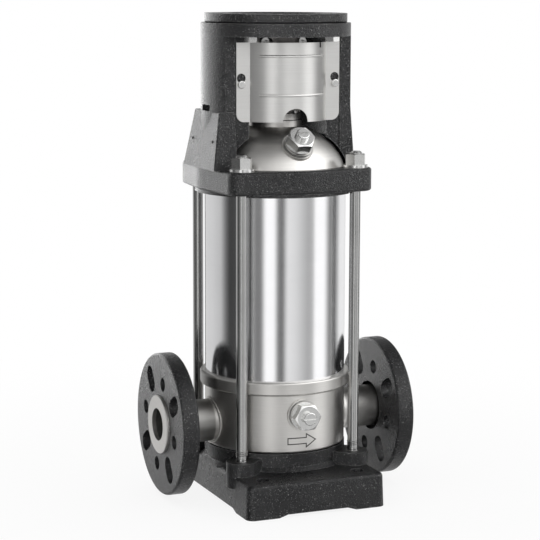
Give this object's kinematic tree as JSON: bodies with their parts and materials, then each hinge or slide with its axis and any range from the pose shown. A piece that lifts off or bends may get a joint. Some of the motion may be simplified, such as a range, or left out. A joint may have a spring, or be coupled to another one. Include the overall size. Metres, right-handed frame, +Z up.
{
  "type": "vertical multistage pump",
  "caption": "Vertical in-line multistage centrifugal pump with foot, loose port flanges, polished sleeve, tie rods, motor stool, guarded coupling and motor adapter.",
  "frame": {"origin": "on the floor under the middle of the foot, on the shaft axis", "axes": "+Z up along the shaft, -X the inlet, +X the outlet, -Y the side with vent and drain plugs"},
  "size_m": [0.25, 0.22, 0.4758],
  "materials": {
    "cast_black": "black painted casting, fine sand texture",
    "stainless_satin": "satin stainless steel",
    "stainless_mirror": "polished stainless steel",
    "guard_sheet": "satin stainless sheet",
    "zinc_fastener": "bright zinc or stainless fastener",
    "stage_steel": "pressed stainless steel",
    "shaft_steel": "ground stainless steel",
    "coupling_iron": "machined casting",
    "seal_rubber": "black rubber",
    "seal_carbide": "dense black seal face",
    "bearing_black": "filled plastic bush"
  },
  "bodies": {
    "pump": {"adapter_bolts": "zinc_fastener", "base_plate": "cast_black", "bottom_bearing": "bearing_black", "coupling_guard_back": "guard_sheet", "coupling_guard_front": "guard_sheet", "discharge_cage": "stage_steel", "drain_plug": "zinc_fastener", "drain_plug_gasket": "seal_rubber", "gland_gasket": "seal_rubber", "gland_screws": "zinc_fastener", "guard_screws": "zinc_fastener", "inlet_collar": "stainless_satin", "inlet_outlet_chamber": "stainless_satin", "motor_adapter_flange": "cast_black", "motor_stool": "cast_black", "neck_rings": "bearing_black", "outer_sleeve": "stainless_mirror", "outlet_collar": "stainless_satin", "pump_head": "stainless_satin", "seal_gland": "stainless_satin", "seal_seat": "seal_carbide", "sleeve_gasket_lower": "seal_rubber", "sleeve_gasket_upper": "seal_rubber", "stage_bearing": "bearing_black", "stage_chamber_1": "stage_steel", "stage_chamber_2": "stage_steel", "stage_chamber_3": "stage_steel", "stage_chamber_4": "stage_steel", "stage_chamber_5": "stage_steel", "stage_chamber_6": "stage_steel", "staybolt_nuts": "zinc_fastener", "staybolt_washers": "zinc_fastener", "staybolts": "zinc_fastener", "suction_cover": "stage_steel", "vent_plug": "zinc_fastener", "vent_plug_gasket": "seal_rubber"},
    "rotor": {"coupling_half_back": "coupling_iron", "coupling_half_front": "coupling_iron", "coupling_pin": "shaft_steel", "coupling_screws": "zinc_fastener", "impeller_1": "stage_steel", "impeller_2": "stage_steel", "impeller_3": "stage_steel", "impeller_4": "stage_steel", "impeller_5": "stage_steel", "impeller_6": "stage_steel", "impeller_spacers": "shaft_steel", "pump_shaft": "shaft_steel", "seal_collar": "shaft_steel", "seal_ring": "seal_carbide", "shaft_end_nut": "shaft_steel", "stack_nut": "shaft_steel"},
    "inlet_flange": {"inlet_flange": "cast_black"},
    "outlet_flange": {"outlet_flange": "cast_black"},
    "vent_screw": {"vent_screw": "zinc_fastener"},
    "drain_screw": {"drain_screw": "zinc_fastener"}
  },
  "joints": [
    {"name": "rotor_spin", "type": "hinge", "parent": "pump", "child": "rotor", "pos_m": [0, 0, 0.4], "axis": [0, 0, 1], "continuous": true},
    {"name": "inlet_flange_swivel", "type": "hinge", "parent": "pump", "child": "inlet_flange", "pos_m": [-0.114, 0, 0.075], "axis": [1, 0, 0], "continuous": true},
    {"name": "outlet_flange_swivel", "type": "hinge", "parent": "pump", "child": "outlet_flange", "pos_m": [0.114, 0, 0.075], "axis": [1, 0, 0], "continuous": true},
    {"name": "vent_screw_turn", "type": "hinge", "parent": "pump", "child": "vent_screw", "pos_m": [0, -0.05488, 0.34902], "axis": [0, -0.7071, 0.7071], "range_deg": [0, 720]},
    {"name": "drain_screw_turn", "type": "hinge", "parent": "pump", "child": "drain_screw", "pos_m": [0, -0.07, 0.089], "axis": [0, -1, 0], "range_deg": [0, 720]}
  ]
}
